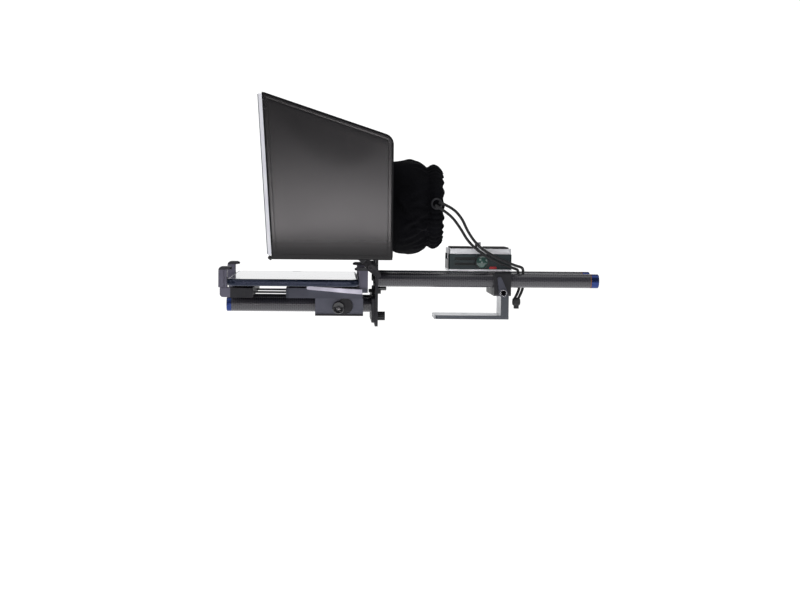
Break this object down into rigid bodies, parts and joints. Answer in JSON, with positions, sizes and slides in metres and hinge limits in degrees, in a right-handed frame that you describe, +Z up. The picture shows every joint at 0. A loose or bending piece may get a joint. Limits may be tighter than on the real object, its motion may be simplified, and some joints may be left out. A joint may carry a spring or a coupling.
{
  "type": "teleprompter",
  "caption": "Rod-mounted camera teleprompter: tablet tray below a tilted beam-splitter glass in a black hood, with a cloth lens shroud and a quick release camera plate.",
  "frame": {"origin": "centre of the tripod thread in the underside of the foot plate", "axes": "+X to the operator, along the rods; -X to the talent; +Z up"},
  "size_m": [0.3996, 0.225, 0.2396],
  "materials": {
    "bare_aluminium": "bead-blasted clear anodised",
    "black_metal": "satin black anodised",
    "black_knob": "moulded, satin",
    "steel_screw": "plated steel",
    "lever_silver": "satin anodised",
    "carbon_tube": "twill carbon fibre, satin lacquer",
    "blue_anodised": "blue anodised aluminium",
    "cap_ring": "moulded spacer ring",
    "green_body": "dark green-black anodised",
    "green_cap": "smoky translucent green",
    "red_button": "moulded",
    "rubber": "ribbed",
    "tablet_body": "satin dark blue-black",
    "tablet_screen": "polished cover glass",
    "mirror_glass": "beam-splitter coated",
    "hood_leatherette": "semi-gloss leatherette over board",
    "hood_fastener": "hook-and-loop pad",
    "front_trim": "light edge trim",
    "shroud_cloth": "matte black cloth",
    "cord": "braided cord"
  },
  "bodies": {
    "base": {"foot_plate": "bare_aluminium", "riser_block": "bare_aluminium", "rod_clamp_block": "black_metal", "base_screws": "steel_screw", "clamp_nut": "steel_screw", "adapter_plate": "bare_aluminium", "adapter_body": "green_body", "adapter_screws": "steel_screw", "drawcord_low": "cord", "drawcord_high": "cord", "cord_lock_body": "black_knob"},
    "clamp_lever": {"clamp_lever": "black_metal", "clamp_lever_screw": "steel_screw"},
    "adapter_knob": {"adapter_knob": "black_knob", "adapter_knob_cap": "green_cap"},
    "release_button": {"release_button": "red_button"},
    "camera_plate": {"camera_plate": "bare_aluminium", "camera_plate_pads": "rubber"},
    "camera_screw": {"camera_screw": "steel_screw"},
    "rails": {"upper_rods": "carbon_tube", "upper_rod_caps": "blue_anodised", "upper_rod_cap_rings": "cap_ring", "rod_end_screws": "steel_screw", "rod_inserts": "lever_silver", "front_plate": "black_metal", "hinge_brackets": "black_metal", "tilt_screws": "steel_screw"},
    "lower_frame": {"lower_bracket": "black_metal", "lower_rods": "carbon_tube", "lower_rod_caps": "blue_anodised"},
    "height_knob": {"height_knob": "black_knob"},
    "wing_screw": {"wing_screw": "black_knob"},
    "carriage": {"carriage_block": "black_metal", "tray": "black_metal", "tray_rubber_pads": "rubber", "rear_clips": "black_metal"},
    "carriage_knob": {"carriage_knob": "black_knob"},
    "slide_lock_lever": {"slide_lock_lever": "lever_silver"},
    "front_jaw": {"jaw_carrier": "black_metal", "slider_bars": "black_metal", "front_clips": "black_metal", "jaw_rubber_pads": "rubber"},
    "tablet": {"tablet_shell": "tablet_body", "tablet_glass": "tablet_screen"},
    "home_button": {"tablet_home_button": "tablet_body"},
    "hood": {"mirror_glass": "mirror_glass", "mirror_frame_sides": "black_metal", "mirror_frame_ends": "black_metal", "hinge_arms": "black_metal", "hood_fastener_pads": "hood_fastener", "hood_side_near": "hood_leatherette", "hood_side_far": "hood_leatherette", "hood_top": "hood_leatherette", "hood_rear": "hood_leatherette", "hood_front_trims": "front_trim", "shroud_ring": "black_knob", "shroud": "shroud_cloth"},
    "cord_plunger": {"cord_lock_plunger": "black_knob"}
  },
  "joints": [
    {"name": "rails_slide", "type": "slide", "parent": "base", "child": "rails", "axis": [1, 0, 0], "range_m": [-0.07, 0.006], "deforming": ["drawcord_low", "drawcord_high"]},
    {"name": "hood_tilt", "type": "hinge", "parent": "rails", "child": "hood", "pos_m": [-0.103, 0, 0.055], "axis": [0, 1, 0], "range_deg": [-2, 8], "deforming": ["shroud"]},
    {"name": "clamp_lever_turn", "type": "hinge", "parent": "base", "child": "clamp_lever", "pos_m": [0.0363, 0, 0.0296], "axis": [0, 1, 0], "range_deg": [-100, 0]},
    {"name": "adapter_knob_turn", "type": "hinge", "parent": "base", "child": "adapter_knob", "pos_m": [0.0149, 0, 0.0615], "axis": [0, 1, 0], "continuous": true},
    {"name": "release_button_press", "type": "slide", "parent": "base", "child": "release_button", "axis": [0, 1, 0], "range_m": [0, 0.0015], "stiffness_N_per_m": 300},
    {"name": "camera_plate_slide", "type": "slide", "parent": "base", "child": "camera_plate", "axis": [1, 0, 0], "range_m": [-0.002, 0.015]},
    {"name": "camera_screw_turn", "type": "hinge", "parent": "camera_plate", "child": "camera_screw", "pos_m": [0.013, 0, 0.07], "axis": [0, 0, 1], "continuous": true},
    {"name": "height_slide", "type": "slide", "parent": "rails", "child": "lower_frame", "axis": [0, 0, 1], "range_m": [-0.004, 0.004]},
    {"name": "height_knob_turn", "type": "hinge", "parent": "lower_frame", "child": "height_knob", "pos_m": [-0.097, 0, 0.0013], "axis": [1, 0, 0], "continuous": true},
    {"name": "wing_screw_turn", "type": "hinge", "parent": "lower_frame", "child": "wing_screw", "pos_m": [-0.097, 0, 0.0285], "axis": [1, 0, 0], "continuous": true},
    {"name": "carriage_slide", "type": "slide", "parent": "lower_frame", "child": "carriage", "axis": [1, 0, 0], "range_m": [-0.07, 0.002]},
    {"name": "carriage_knob_turn", "type": "hinge", "parent": "carriage", "child": "carriage_knob", "pos_m": [-0.137, -0.05, 0.0134], "axis": [0, 1, 0], "continuous": true},
    {"name": "slide_lock_turn", "type": "hinge", "parent": "carriage", "child": "slide_lock_lever", "pos_m": [-0.1156, -0.08, 0.0317], "axis": [0, 1, 0], "range_deg": [-60, 0]},
    {"name": "jaw_slide", "type": "slide", "parent": "carriage", "child": "front_jaw", "axis": [1, 0, 0], "range_m": [-0.045, 0]},
    {"name": "tablet_slide", "type": "slide", "parent": "carriage", "child": "tablet", "axis": [0, 1, 0], "range_m": [-0.1, 0.1]},
    {"name": "home_button_press", "type": "slide", "parent": "tablet", "child": "home_button", "axis": [0, 0, -1], "range_m": [0, 0.0005], "stiffness_N_per_m": 400},
    {"name": "cord_plunger_press", "type": "slide", "parent": "base", "child": "cord_plunger", "axis": [0, 0, 1], "range_m": [0, 0.002], "stiffness_N_per_m": 300}
  ]
}
